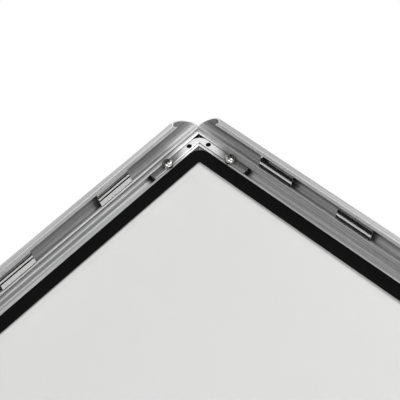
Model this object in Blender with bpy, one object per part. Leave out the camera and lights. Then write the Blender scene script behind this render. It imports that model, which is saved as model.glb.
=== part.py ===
"""Poster frame for an A2 sheet: a wall-hung snap frame, shown with its four front rails swung open.

Each side has a base rail, an aluminium extrusion that holds the sheets, and a front rail that
hinges on a round bead along the base rail's outer wall. Leaf springs inside each front rail span
from the hinge to the rail's foot. Angle brackets with two screws each join the mitred corners.
The sheets lie in the pocket inside the base rails: back panel, poster, clear cover and its black
border. Metres, +Z up. The frame faces -Y and its back is the plane y = 0. The origin is on the
back of the top base rail, at mid width.

A section of a side is drawn in two lengths: the inset from the frame's outer edge towards its
middle, and the height in front of the back plane.
"""

import math

import bmesh
import bpy
from mathutils.geometry import tessellate_polygon

# Whole frame
FRAME_WIDTH = 0.452
FRAME_HEIGHT = 0.626

# Gaps
SEAT_GAP = 0.0003
HINGE_GAP = 0.00025
MITRE_GAP = 0.00015
CUT_OVERRUN = 0.001

# Sheets, from the back to the front
BACK_PANEL_THICKNESS = 0.0015
POSTER_THICKNESS = 0.0002
COVER_THICKNESS = 0.001
BORDER_THICKNESS = 0.0002
BORDER_WIDTH = 0.0104
SHEET_CORNER_RADIUS = 0.010
WINDOW_CORNER_RADIUS = 0.0015
POSTER_INSET = 0.0005

# Base rail section
FLOOR_THICKNESS = 0.0015
SHELF_WIDTH = 0.0118
LIP_WIDTH = 0.0016
CHANNEL_WIDTH = 0.0062
LEDGE_WIDTH = 0.0016
LEDGE_RISE = 0.0003
OUTER_WALL_THICKNESS = 0.0012

# Hinge
HINGE_INSET = 0.0033
HINGE_RISE = 0.0008
BEAD_RADIUS = 0.00065
NECK_SHARE = 0.54
CURL_THICKNESS = 0.0007
OPEN_ANGLE = math.radians(90)
WEB_ANGLE = math.radians(15)

# Front rail section, with the rail shut
RAIL_WIDTH = 0.025
RAIL_THICKNESS = 0.0013
CROWN_RISE = 0.0102
CROWN_INSET = 0.0085
TIP_RISE = 0.0042
SIDE_WALL_HEIGHT = 0.0028
SIDE_CURVE_SHARES = (0.59, 0.45)
FACE_CURVE_SHARES = (0.36, 0.26, 0.47)
FOOT_WALL = 0.0012
FOOT_THICKNESS = 0.001
FOOT_REACH = 0.0043
FOOT_NOSE = 0.0003
FOOT_CUT_BACK = 0.002

# Leaf spring, as it lies in the shut rail
LEAF_LENGTH = 0.0295
LEAF_THICKNESS = 0.0004
LEAF_HOOK_DROP = 0.00055
LEAF_BEND_LENGTH = 0.0002
LEAF_RUNS = (0.0038, 0.00135, 0.0014, 0.0012, 0.0028)
LEAF_SLANTS = tuple(math.radians(angle) for angle in (23.8, 16, 19.8, 15.5, 6))
LEAF_END_GAP = 0.001
LONG_SIDE_FIRST_LEAF = 0.0856
LONG_SIDE_LEAVES = 6
SHORT_SIDE_FIRST_LEAF = 0.0785
SHORT_SIDE_LEAF_PITCH = 0.070

# Corner bracket and its screws; distances along a side start at the frame's outer corner
BRACKET_ARM_END = 0.0575
BRACKET_CORNER_RADIUS = 0.0085
BRACKET_END_CHAMFER = 0.0006
WALL_HOLE_RADIUS = 0.0016
WALL_HOLE_ALONG = 0.0204
SCREW_END_DISTANCE = 0.015
SCREW_OFFSET = 0.0004
SCREW_SHANK_RADIUS = 0.0015
SCREW_HEAD_RADIUS = 0.0042
SCREW_HEAD_HEIGHT = 0.0034
SCREW_HEAD_EDGE = 0.0006
SCREW_HEAD_POWER = 0.6
RECESS_LENGTH = 0.0046
RECESS_WIDTH = 0.001
RECESS_DEPTH = 0.0017
RECESS_TURN = math.radians(20)

# Angle above which an edge is shown sharp, and a quarter turn
SHARP_ANGLE = math.radians(35)
QUARTER_TURN = math.radians(90)

# Numbers of straight steps in the round stretches
BEAD_STEPS = 14
CURL_STEPS = 12
CURVE_STEPS = 9
CORNER_STEPS = 6
HOLE_STEPS = 20
SCREW_STEPS = 24
HEAD_STEPS = 4
HOOK_STEPS = 2

# Places worked out from the sizes above
BACK_PANEL_BACK = FLOOR_THICKNESS + SEAT_GAP
POSTER_BACK = BACK_PANEL_BACK + BACK_PANEL_THICKNESS + SEAT_GAP
COVER_BACK = POSTER_BACK + POSTER_THICKNESS + SEAT_GAP
BORDER_BACK = COVER_BACK + COVER_THICKNESS + SEAT_GAP
SHEET_TOP = BORDER_BACK + BORDER_THICKNESS

HINGE_HEIGHT = SHEET_TOP + HINGE_RISE
NECK_HALF_WIDTH = NECK_SHARE * BEAD_RADIUS
CURL_INNER_RADIUS = BEAD_RADIUS + HINGE_GAP
CURL_OUTER_RADIUS = CURL_INNER_RADIUS + CURL_THICKNESS
FOOT_BACK = SHEET_TOP + SEAT_GAP
FOOT_FRONT = FOOT_BACK + FOOT_THICKNESS
TIP_OUTER = RAIL_WIDTH - FOOT_NOSE
TIP_INNER = TIP_OUTER - FOOT_WALL
LEAF_HOOK_RADIUS = CURL_OUTER_RADIUS + HINGE_GAP + LEAF_THICKNESS / 2
LEAF_END_INSET = TIP_INNER - LEAF_END_GAP

LEDGE_TOP = SHEET_TOP + LEDGE_RISE
LEDGE_OUTER = HINGE_INSET + LEAF_HOOK_RADIUS + LEAF_THICKNESS / 2 + HINGE_GAP
LEDGE_INNER = LEDGE_OUTER + LEDGE_WIDTH
LIP_OUTER = LEDGE_INNER + CHANNEL_WIDTH
LIP_INNER = LIP_OUTER + LIP_WIDTH
SHELF_END = LIP_INNER + SHELF_WIDTH
SHEET_INSET = LIP_INNER + SEAT_GAP
WALL_OUTER = HINGE_INSET - OUTER_WALL_THICKNESS / 2
WALL_INNER = HINGE_INSET + OUTER_WALL_THICKNESS / 2
WALL_TOP = HINGE_HEIGHT - CURL_OUTER_RADIUS - SEAT_GAP
RELIEF_TOP = WALL_TOP - FLOOR_THICKNESS
STOP_RISE = OUTER_WALL_THICKNESS / 2 + SEAT_GAP

BRACKET_OUTER = LEDGE_INNER + SEAT_GAP
BRACKET_INNER = LIP_OUTER - SEAT_GAP
BRACKET_BACK = FLOOR_THICKNESS + SEAT_GAP
BRACKET_MIDDLE = (BRACKET_OUTER + BRACKET_INNER) / 2
SCREW_HOLE_RADIUS = SCREW_SHANK_RADIUS + SEAT_GAP
SCREW_ALONG = BRACKET_ARM_END - SCREW_END_DISTANCE
SCREW_INSET = BRACKET_MIDDLE + SCREW_OFFSET
MOUNT_INSET = (WALL_OUTER + SHELF_END) / 2
FRAME_CENTRE_Z = MOUNT_INSET - FRAME_HEIGHT / 2

# Each side: quarter turns about Y from the top side, length, distance from the middle to its edge
SIDES = {
    "top": (0, FRAME_WIDTH, FRAME_HEIGHT / 2),
    "left": (-1, FRAME_HEIGHT, FRAME_WIDTH / 2),
    "bottom": (2, FRAME_WIDTH, FRAME_HEIGHT / 2),
    "right": (1, FRAME_HEIGHT, FRAME_WIDTH / 2),
}

# Each corner: which way it lies from the frame's middle, along X and along Z
CORNERS = {
    "top_left": (-1, 1),
    "top_right": (1, 1),
    "bottom_right": (1, -1),
    "bottom_left": (-1, -1),
}


def clear_objects():
    """Remove every object that the open file holds."""
    for scene_object in list(bpy.data.objects):
        bpy.data.objects.remove(scene_object, do_unlink=True)


def make_material(name, colour, roughness, metallic=0.0):
    """Return a Principled material of one colour."""
    material = bpy.data.materials.new(name)
    material.use_nodes = True
    shader = material.node_tree.nodes["Principled BSDF"]
    shader.inputs["Base Color"].default_value = (*colour, 1.0)
    shader.inputs["Roughness"].default_value = roughness
    shader.inputs["Metallic"].default_value = metallic
    return material


def add_object(name, mesh, material, parent=None):
    """Link a mesh object into the scene, with its material and parent."""
    new_object = bpy.data.objects.new(name, mesh)
    if material is not None:
        if not mesh.materials:
            mesh.materials.append(material)
    bpy.context.scene.collection.objects.link(new_object)
    new_object.parent = parent
    return new_object


def add_empty(name, parent=None):
    """Link an empty that carries other objects."""
    empty = bpy.data.objects.new(name, None)
    bpy.context.scene.collection.objects.link(empty)
    empty.parent = parent
    return empty


def arc(centre, radius, start, end, steps):
    """Return points along an arc, angles in radians from the first axis."""
    points = []
    for index in range(steps + 1):
        angle = start + (end - start) * index / steps
        points.append((centre[0] + radius * math.cos(angle), centre[1] + radius * math.sin(angle)))
    return points


def bezier(start, pull_start, pull_end, end, steps):
    """Return points along a cubic Bezier curve."""
    points = []
    for index in range(steps + 1):
        t = index / steps
        weights = ((1 - t) ** 3, 3 * t * (1 - t) ** 2, 3 * t * t * (1 - t), t ** 3)
        controls = (start, pull_start, pull_end, end)
        points.append(tuple(sum(w * p[axis] for w, p in zip(weights, controls)) for axis in (0, 1)))
    return points


def offset_line(points, distance):
    """Return an open line of points moved sideways, to the right of its course when positive."""
    moved = []
    last = len(points) - 1
    for index, point in enumerate(points):
        before = points[max(index - 1, 0)]
        after = points[min(index + 1, last)]
        run = (after[0] - before[0], after[1] - before[1])
        size = math.hypot(*run)
        moved.append((point[0] + distance * run[1] / size, point[1] - distance * run[0] / size))
    return moved


def height_at(points, inset):
    """Return the height of a line of points, in order of inset, at one inset."""
    for first, second in zip(points, points[1:]):
        if first[0] <= inset <= second[0]:
            share = (inset - first[0]) / (second[0] - first[0])
            return first[1] + share * (second[1] - first[1])
    return points[-1][1]


def extrude_section(name, outline, half_length_at):
    """Extrude a section along X and close both ends.

    outline holds (y, z) points, and half_length_at gives each point's half length, so that the
    ends can be mitred or cut back where the section needs it.
    """
    vertices = []
    for side in (-1, 1):
        vertices += [(side * half_length_at(y, z), y, z) for y, z in outline]
    count = len(outline)
    faces = []
    for index in range(count):
        after = (index + 1) % count
        faces.append((index, after, count + after, count + index))
    triangles = tessellate_polygon([[(y, z, 0) for y, z in outline]])
    faces += [tuple(triangle) for triangle in triangles]
    faces += [tuple(count + corner for corner in reversed(triangle)) for triangle in triangles]
    mesh = bpy.data.meshes.new(name)
    mesh.from_pydata(vertices, [], faces)
    face_outwards(mesh)
    return mesh


def extrude_outline(name, outline, back, front):
    """Extrude an outline of (x, y) points from z = back to z = front."""
    count = len(outline)
    vertices = [(x, y, back) for x, y in outline] + [(x, y, front) for x, y in outline]
    faces = [tuple(range(count)), tuple(range(count, 2 * count))]
    for index in range(count):
        after = (index + 1) % count
        faces.append((index, after, count + after, count + index))
    mesh = bpy.data.meshes.new(name)
    mesh.from_pydata(vertices, [], faces)
    face_outwards(mesh)
    return mesh


def face_outwards(mesh):
    """Turn all faces of a closed mesh outwards."""
    working = bmesh.new()
    working.from_mesh(mesh)
    bmesh.ops.recalc_face_normals(working, faces=working.faces)
    if working.calc_volume(signed=True) < 0:
        bmesh.ops.reverse_faces(working, faces=working.faces)
    working.to_mesh(mesh)
    working.free()


def shade_round(mesh):
    """Shade a mesh smooth, with its sharp edges kept."""
    mesh.shade_smooth()
    mesh.set_sharp_from_angle(angle=SHARP_ANGLE)


def rounded_rectangle(width, height, radius, steps):
    """Return the outline of a rectangle round the origin, with round corners."""
    points = []
    for turn, (side_x, side_y) in enumerate(((1, 1), (-1, 1), (-1, -1), (1, -1))):
        centre = (side_x * (width / 2 - radius), side_y * (height / 2 - radius))
        first = turn * QUARTER_TURN
        points += arc(centre, radius, first, first + QUARTER_TURN, steps)
    return points


def add_cutter(name, radius, back, front, parent, location):
    """Add a round cutter along the parent's Z axis."""
    outline = arc((0, 0), radius, 0, 4 * QUARTER_TURN, HOLE_STEPS)[:-1]
    mesh = extrude_outline(name, outline, back - CUT_OVERRUN, front + CUT_OVERRUN)
    cutter = add_object(name, mesh, None, parent)
    cutter.location = location
    cutter.hide_render = True
    cutter.display_type = "WIRE"
    return cutter


def cut(target, cutter):
    """Subtract a cutter from an object."""
    modifier = target.modifiers.new(cutter.name, "BOOLEAN")
    modifier.operation = "DIFFERENCE"
    modifier.solver = "EXACT"
    modifier.object = cutter


def base_section():
    """Return the base rail's section as (inset, height) points."""
    neck_left = HINGE_INSET - NECK_HALF_WIDTH
    neck_right = HINGE_INSET + NECK_HALF_WIDTH
    neck_angle = math.asin(NECK_SHARE)
    bead = arc((HINGE_INSET, HINGE_HEIGHT), BEAD_RADIUS, neck_angle - QUARTER_TURN,
               3 * QUARTER_TURN - neck_angle, BEAD_STEPS)
    return [
        (WALL_OUTER, 0),
        (WALL_INNER, 0),
        (WALL_INNER, RELIEF_TOP),
        (LEDGE_OUTER, RELIEF_TOP),
        (LEDGE_OUTER, 0),
        (SHELF_END, 0),
        (SHELF_END, FLOOR_THICKNESS),
        (LIP_INNER, FLOOR_THICKNESS),
        (LIP_INNER, SHEET_TOP),
        (LIP_OUTER, SHEET_TOP),
        (LIP_OUTER, FLOOR_THICKNESS),
        (LEDGE_INNER, FLOOR_THICKNESS),
        (LEDGE_INNER, LEDGE_TOP),
        (LEDGE_OUTER, LEDGE_TOP),
        (LEDGE_OUTER, WALL_TOP),
        (neck_right, WALL_TOP),
        *bead,
        (neck_left, WALL_TOP),
        (WALL_OUTER, WALL_TOP),
    ]


def face_lines():
    """Return the front rail's outer line, and its inner line one wall below, side wall to tip."""
    side_top = (0, HINGE_HEIGHT + STOP_RISE + SIDE_WALL_HEIGHT)
    crown = (CROWN_INSET, SHEET_TOP + CROWN_RISE)
    tip = (TIP_OUTER, SHEET_TOP + TIP_RISE)
    side_rise = crown[1] - side_top[1]
    face_run = tip[0] - crown[0]
    face_drop = crown[1] - tip[1]
    outer = bezier(side_top, (0, side_top[1] + SIDE_CURVE_SHARES[0] * side_rise),
                   (SIDE_CURVE_SHARES[1] * CROWN_INSET, crown[1]), crown, CURVE_STEPS)
    outer += bezier(crown, (crown[0] + FACE_CURVE_SHARES[0] * face_run, crown[1]),
                    (tip[0] - FACE_CURVE_SHARES[1] * face_run,
                     tip[1] + FACE_CURVE_SHARES[2] * face_drop), tip, CURVE_STEPS)[1:]
    return outer, offset_line(outer, RAIL_THICKNESS)


def rail_section():
    """Return the shut front rail's section as (inset, height) points."""
    outer, inner = face_lines()
    hinge = (HINGE_INSET, HINGE_HEIGHT)
    free_angle = math.asin((NECK_HALF_WIDTH + HINGE_GAP) / CURL_INNER_RADIUS)
    curl_tip = free_angle - QUARTER_TURN
    curl_root = 3 * QUARTER_TURN - free_angle - OPEN_ANGLE
    curl_outside = arc(hinge, CURL_OUTER_RADIUS, curl_root - WEB_ANGLE, curl_tip, CURL_STEPS)
    curl_inside = arc(hinge, CURL_INNER_RADIUS, curl_tip, curl_root, CURL_STEPS)
    inner_line = [point for point in inner if point[0] < TIP_INNER]
    inner_line.append((TIP_INNER, height_at(inner, TIP_INNER)))
    return [
        (0, HINGE_HEIGHT + STOP_RISE),
        *outer,
        (TIP_OUTER, FOOT_FRONT),
        (RAIL_WIDTH, FOOT_FRONT),
        (RAIL_WIDTH, FOOT_BACK),
        (RAIL_WIDTH - FOOT_REACH, FOOT_BACK),
        (RAIL_WIDTH - FOOT_REACH, FOOT_FRONT),
        (TIP_INNER, FOOT_FRONT),
        *reversed(inner_line),
        (RAIL_THICKNESS, HINGE_HEIGHT + STOP_RISE + RAIL_THICKNESS),
        *curl_outside,
        *curl_inside,
        arc(hinge, CURL_OUTER_RADIUS, curl_root, curl_root, 1)[0],
    ]


def furthest_inset(inset, height):
    """Return the furthest inset that a point of a front rail reaches while the rail swings."""
    run = inset - HINGE_INSET
    rise = height - HINGE_HEIGHT
    swing = [OPEN_ANGLE * step / CURL_STEPS for step in range(CURL_STEPS + 1)]
    return HINGE_INSET + max(run * math.cos(a) - rise * math.sin(a) for a in swing)


def leaf_section():
    """Return a leaf spring's section in the shut rail as (inset, height) points."""
    inner = face_lines()[1]
    hook_angle = math.asin(LEAF_HOOK_DROP / LEAF_HOOK_RADIUS)
    bend_angle = LEAF_BEND_LENGTH / LEAF_HOOK_RADIUS
    line = arc((HINGE_INSET, HINGE_HEIGHT), LEAF_HOOK_RADIUS, -hook_angle, -bend_angle,
               HOOK_STEPS)
    inset, height = HINGE_INSET + LEAF_HOOK_RADIUS, HINGE_HEIGHT
    line.append((inset + LEAF_BEND_LENGTH * math.cos(LEAF_SLANTS[0]),
                 height + LEAF_BEND_LENGTH * math.sin(LEAF_SLANTS[0])))
    for run, slant in zip(LEAF_RUNS, LEAF_SLANTS):
        inset += run * math.cos(slant)
        height += run * math.sin(slant)
        line.append((inset, height))
    end_height = height_at(inner, LEAF_END_INSET) - SEAT_GAP - LEAF_THICKNESS / 2
    line.append((LEAF_END_INSET, end_height))
    return offset_line(line, LEAF_THICKNESS / 2) + offset_line(line, -LEAF_THICKNESS / 2)[::-1]


def leaf_places(side):
    """Return the places of the leaf springs along a side, from its middle."""
    length = SIDES[side][1]
    if side in ("left", "right"):
        first = length / 2 - LONG_SIDE_FIRST_LEAF
        pitch = 2 * first / (LONG_SIDE_LEAVES - 1)
        return [-first + pitch * index for index in range(LONG_SIDE_LEAVES)]
    first = length / 2 - SHORT_SIDE_FIRST_LEAF
    second = first - SHORT_SIDE_LEAF_PITCH
    return [-first, -second, 0, second, first]


def add_base_rail(side, parent, material):
    """Add a mitred base rail, with the holes for the bracket screws and the wall screws."""
    length, edge = SIDES[side][1:]
    outline = [(edge - inset, height) for inset, height in base_section()]
    mesh = extrude_section("base_rail_" + side, outline,
                           lambda y, z: length / 2 - (edge - y) - MITRE_GAP)
    shade_round(mesh)
    rail = add_object("base_rail_" + side, mesh, material, parent)
    holes = (
        ("wall", WALL_HOLE_ALONG, BRACKET_MIDDLE, WALL_HOLE_RADIUS),
        ("screw", SCREW_ALONG, SCREW_INSET, SCREW_HOLE_RADIUS),
    )
    for end in (-1, 1):
        for kind, along, inset, radius in holes:
            name = "cut_{}_{}_{}".format(side, kind, "start" if end < 0 else "end")
            place = (end * (length / 2 - along), edge - inset, 0)
            cut(rail, add_cutter(name, radius, 0, FLOOR_THICKNESS, parent, place))


def add_front_rail(side, parent, material):
    """Add a front rail, swung open about the hinge bead, and return it."""
    length, edge = SIDES[side][1:]

    def half_length(y, z):
        inset = HINGE_INSET - y
        height = HINGE_HEIGHT + z
        end = furthest_inset(inset, height) + MITRE_GAP
        in_foot = inset > CROWN_INSET and height < FOOT_FRONT + SEAT_GAP
        return length / 2 - end - (FOOT_CUT_BACK if in_foot else 0)

    outline = [(HINGE_INSET - inset, height - HINGE_HEIGHT) for inset, height in rail_section()]
    mesh = extrude_section("front_rail_" + side, outline, half_length)
    shade_round(mesh)
    rail = add_object("front_rail_" + side, mesh, material, parent)
    rail.location = (0, edge - HINGE_INSET, HINGE_HEIGHT)
    rail.rotation_euler = (-OPEN_ANGLE, 0, 0)
    return rail


def add_leaf_springs(side, rail, mesh, material):
    """Add the leaf springs of one front rail, which they ride in."""
    for number, place in enumerate(leaf_places(side), start=1):
        leaf = add_object("leaf_spring_{}_{}".format(side, number), mesh, material, rail)
        leaf.location = (place, 0, 0)


def bracket_outline():
    """Return the bracket's outline round the frame's top left outer corner, as (x, y) insets."""
    radius = BRACKET_CORNER_RADIUS
    centre = (BRACKET_OUTER + radius, BRACKET_OUTER + radius)
    end = BRACKET_ARM_END
    chamfer = BRACKET_END_CHAMFER
    return [
        *arc(centre, radius, 2 * QUARTER_TURN, 3 * QUARTER_TURN, CORNER_STEPS),
        (end, BRACKET_OUTER),
        (end, BRACKET_INNER - chamfer),
        (end - chamfer, BRACKET_INNER),
        (BRACKET_INNER, BRACKET_INNER),
        (BRACKET_INNER, end - chamfer),
        (BRACKET_INNER - chamfer, end),
        (BRACKET_OUTER, end),
    ]


def add_bracket(corner, parent, material):
    """Add the angle bracket that joins two base rails in their channels."""
    way_x, way_z = CORNERS[corner]
    outline = [(way_x * (FRAME_WIDTH / 2 - x), way_z * (FRAME_HEIGHT / 2 - y))
               for x, y in bracket_outline()]
    mesh = extrude_outline("corner_bracket_" + corner, outline, BRACKET_BACK, LEDGE_TOP)
    shade_round(mesh)
    bracket = add_object("corner_bracket_" + corner, mesh, material, parent)
    holes = (
        ("wall", WALL_HOLE_ALONG, BRACKET_MIDDLE, WALL_HOLE_RADIUS),
        ("screw", SCREW_ALONG, SCREW_INSET, SCREW_HOLE_RADIUS),
    )
    for kind, along, inset, radius in holes:
        for turned, (x, y) in enumerate(((along, inset), (inset, along))):
            name = "cut_{}_{}_{}".format(corner, kind, turned)
            place = (way_x * (FRAME_WIDTH / 2 - x), way_z * (FRAME_HEIGHT / 2 - y), 0)
            cut(bracket, add_cutter(name, radius, BRACKET_BACK, LEDGE_TOP, parent, place))


def screw_profile():
    """Return half the screw's section as (radius, height), from the shank's end to the head's top."""
    seat = LEDGE_TOP + SEAT_GAP
    dome = SCREW_HEAD_HEIGHT - SCREW_HEAD_EDGE
    profile = [(SCREW_SHANK_RADIUS, SEAT_GAP), (SCREW_SHANK_RADIUS, seat), (SCREW_HEAD_RADIUS, seat)]
    for step in range(HEAD_STEPS):
        angle = QUARTER_TURN * step / HEAD_STEPS
        profile.append((SCREW_HEAD_RADIUS * math.cos(angle) ** SCREW_HEAD_POWER,
                        seat + SCREW_HEAD_EDGE + dome * math.sin(angle)))
    return profile


def screw_mesh():
    """Return the mesh of a screw round its own axis, without its recess."""
    profile = screw_profile()
    vertices = []
    faces = []
    for radius, height in profile:
        for step in range(SCREW_STEPS):
            angle = 4 * QUARTER_TURN * step / SCREW_STEPS
            vertices.append((radius * math.cos(angle), radius * math.sin(angle), height))
    for ring in range(len(profile) - 1):
        for step in range(SCREW_STEPS):
            after = (step + 1) % SCREW_STEPS
            lower = ring * SCREW_STEPS
            upper = lower + SCREW_STEPS
            faces.append((lower + step, lower + after, upper + after, upper + step))
    last = (len(profile) - 1) * SCREW_STEPS
    faces.append(tuple(range(SCREW_STEPS)))
    faces.append(tuple(range(last, last + SCREW_STEPS)))
    mesh = bpy.data.meshes.new("bracket_screw")
    mesh.from_pydata(vertices, [], faces)
    face_outwards(mesh)
    shade_round(mesh)
    return mesh


def recess_outline():
    """Return the outline of the cross recess round the origin."""
    long_half = RECESS_LENGTH / 2
    thin_half = RECESS_WIDTH / 2
    quarter = [(long_half, -thin_half), (long_half, thin_half), (thin_half, thin_half)]
    points = []
    for turn in range(4):
        cosine = round(math.cos(turn * QUARTER_TURN))
        sine = round(math.sin(turn * QUARTER_TURN))
        points += [(x * cosine - y * sine, x * sine + y * cosine) for x, y in quarter]
    return points


def add_screws(corner, parent, mesh, material):
    """Add the two screws of one bracket, each with a cross recess in its head."""
    way_x, way_z = CORNERS[corner]
    head_top = LEDGE_TOP + SEAT_GAP + SCREW_HEAD_HEIGHT
    places = ((SCREW_ALONG, SCREW_INSET), (SCREW_INSET, SCREW_ALONG))
    for number, (x, y) in enumerate(places, start=1):
        screw = add_object("bracket_screw_{}_{}".format(corner, number), mesh, material, parent)
        screw.location = (way_x * (FRAME_WIDTH / 2 - x), way_z * (FRAME_HEIGHT / 2 - y), 0)
        cutter_name = "cut_recess_{}_{}".format(corner, number)
        cutter_mesh = extrude_outline(cutter_name, recess_outline(), head_top - RECESS_DEPTH,
                                      head_top + CUT_OVERRUN)
        cutter = add_object(cutter_name, cutter_mesh, None, screw)
        cutter.rotation_euler = (0, 0, RECESS_TURN)
        cutter.hide_render = True
        cutter.display_type = "WIRE"
        cut(screw, cutter)


def add_sheet(name, inset, back, thickness, parent, material):
    """Add a flat sheet with round corners in the pocket."""
    outline = rounded_rectangle(FRAME_WIDTH - 2 * inset, FRAME_HEIGHT - 2 * inset,
                                SHEET_CORNER_RADIUS, CORNER_STEPS)
    add_object(name, extrude_outline(name, outline, back, back + thickness), material, parent)


def add_border(parent, material):
    """Add the black border that runs round the front of the clear cover."""
    outer = rounded_rectangle(FRAME_WIDTH - 2 * SHEET_INSET, FRAME_HEIGHT - 2 * SHEET_INSET,
                              SHEET_CORNER_RADIUS, CORNER_STEPS)
    window = SHEET_INSET + BORDER_WIDTH
    inner = rounded_rectangle(FRAME_WIDTH - 2 * window, FRAME_HEIGHT - 2 * window,
                              WINDOW_CORNER_RADIUS, CORNER_STEPS)
    count = len(outer)
    vertices = []
    for height in (BORDER_BACK, SHEET_TOP):
        vertices += [(x, y, height) for x, y in outer]
        vertices += [(x, y, height) for x, y in inner]
    faces = []
    for index in range(count):
        after = (index + 1) % count
        back_outer, back_inner, front_outer, front_inner = 0, count, 2 * count, 3 * count
        loops = ((back_outer, front_outer), (front_outer, front_inner),
                 (front_inner, back_inner), (back_inner, back_outer))
        for first, second in loops:
            faces.append((first + index, first + after, second + after, second + index))
    mesh = bpy.data.meshes.new("cover_border")
    mesh.from_pydata(vertices, [], faces)
    face_outwards(mesh)
    add_object("cover_border", mesh, material, parent)


def build():
    """Build the whole poster frame."""
    clear_objects()
    aluminium = make_material("anodised_aluminium", (0.62, 0.63, 0.64), 0.32, 1.0)
    bracket_steel = make_material("plated_bracket", (0.70, 0.70, 0.69), 0.28, 1.0)
    spring_steel = make_material("spring_steel", (0.55, 0.56, 0.58), 0.2, 1.0)
    screw_steel = make_material("plated_screws", (0.75, 0.75, 0.74), 0.15, 1.0)
    panel_plastic = make_material("back_panel_plastic", (0.55, 0.55, 0.55), 0.6)
    poster_paper = make_material("poster_paper", (0.80, 0.80, 0.80), 0.8)
    cover_plastic = make_material("clear_cover", (0.85, 0.88, 0.90), 0.1)
    border_film = make_material("black_border", (0.012, 0.012, 0.012), 0.5)

    frame = add_empty("frame")
    frame.location = (0, 0, FRAME_CENTRE_Z)
    front = add_empty("frame_front", frame)
    front.rotation_euler = (QUARTER_TURN, 0, 0)

    leaf_outline = [(HINGE_INSET - inset, height - HINGE_HEIGHT)
                    for inset, height in leaf_section()]
    leaf_mesh = extrude_section("leaf_spring", leaf_outline, lambda y, z: LEAF_LENGTH / 2)
    for side, (turn, _length, _edge) in SIDES.items():
        carrier = add_empty("side_" + side, frame)
        carrier.rotation_euler = (QUARTER_TURN, turn * QUARTER_TURN, 0)
        add_base_rail(side, carrier, aluminium)
        rail = add_front_rail(side, carrier, aluminium)
        add_leaf_springs(side, rail, leaf_mesh, spring_steel)

    turned_screw = screw_mesh()
    for corner in CORNERS:
        add_bracket(corner, front, bracket_steel)
        add_screws(corner, front, turned_screw, screw_steel)

    add_sheet("back_panel", SHEET_INSET, BACK_PANEL_BACK, BACK_PANEL_THICKNESS, front,
              panel_plastic)
    add_sheet("poster_sheet", SHEET_INSET + POSTER_INSET, POSTER_BACK, POSTER_THICKNESS, front,
              poster_paper)
    add_sheet("cover_sheet", SHEET_INSET, COVER_BACK, COVER_THICKNESS, front, cover_plastic)
    add_border(front, border_film)
    bpy.context.view_layer.update()


build()
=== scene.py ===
"""Dressed model of a wall-hung poster frame, shown with its four front rails swung open.

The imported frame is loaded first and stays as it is. Each operator builds one kind of piece over
it, in metres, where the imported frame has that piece, and the piece rides on the frame's body.

A section of a side is drawn in two lengths: the inset from the frame's outer edge towards its
middle, and the height in front of the back plane. A side's own axes are: along the side, outwards
from the frame's middle, and forwards from the back plane.
"""

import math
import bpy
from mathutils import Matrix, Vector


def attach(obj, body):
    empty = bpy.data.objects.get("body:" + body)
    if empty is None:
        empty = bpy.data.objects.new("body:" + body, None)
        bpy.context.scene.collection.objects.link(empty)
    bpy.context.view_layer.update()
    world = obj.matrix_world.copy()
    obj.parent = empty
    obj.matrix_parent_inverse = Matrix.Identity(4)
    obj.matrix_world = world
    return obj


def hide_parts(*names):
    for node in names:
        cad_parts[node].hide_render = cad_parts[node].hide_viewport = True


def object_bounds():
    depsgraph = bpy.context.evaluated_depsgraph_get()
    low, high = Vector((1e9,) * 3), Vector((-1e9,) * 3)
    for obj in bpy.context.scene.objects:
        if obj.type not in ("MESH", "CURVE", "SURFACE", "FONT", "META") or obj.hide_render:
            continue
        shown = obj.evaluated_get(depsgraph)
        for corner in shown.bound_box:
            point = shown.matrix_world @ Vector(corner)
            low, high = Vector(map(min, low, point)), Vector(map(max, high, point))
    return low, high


bl_info = {
    "name": "Poster Frame Pieces",
    "version": (1, 0, 0),
    "blender": (4, 5, 0),
    "location": "3D View > Sidebar > Poster Frame",
    "description": "Builds the pieces, finishes and stage of an open poster frame",
    "category": "Object",
}

from types import SimpleNamespace

import bmesh
import bpy
import numpy as np
from bpy.props import FloatProperty, FloatVectorProperty, PointerProperty, StringProperty
from mathutils.geometry import tessellate_polygon

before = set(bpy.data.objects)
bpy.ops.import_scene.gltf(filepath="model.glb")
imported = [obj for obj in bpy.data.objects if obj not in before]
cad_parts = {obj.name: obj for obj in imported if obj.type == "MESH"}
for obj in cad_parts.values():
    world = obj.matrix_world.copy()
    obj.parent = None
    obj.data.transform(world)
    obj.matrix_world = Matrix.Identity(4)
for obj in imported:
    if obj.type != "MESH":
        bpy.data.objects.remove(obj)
packed_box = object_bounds()

QUARTER = math.pi / 2
SHARP_ANGLE = math.radians(38)
MERGE_DISTANCE = 1e-6

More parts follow.
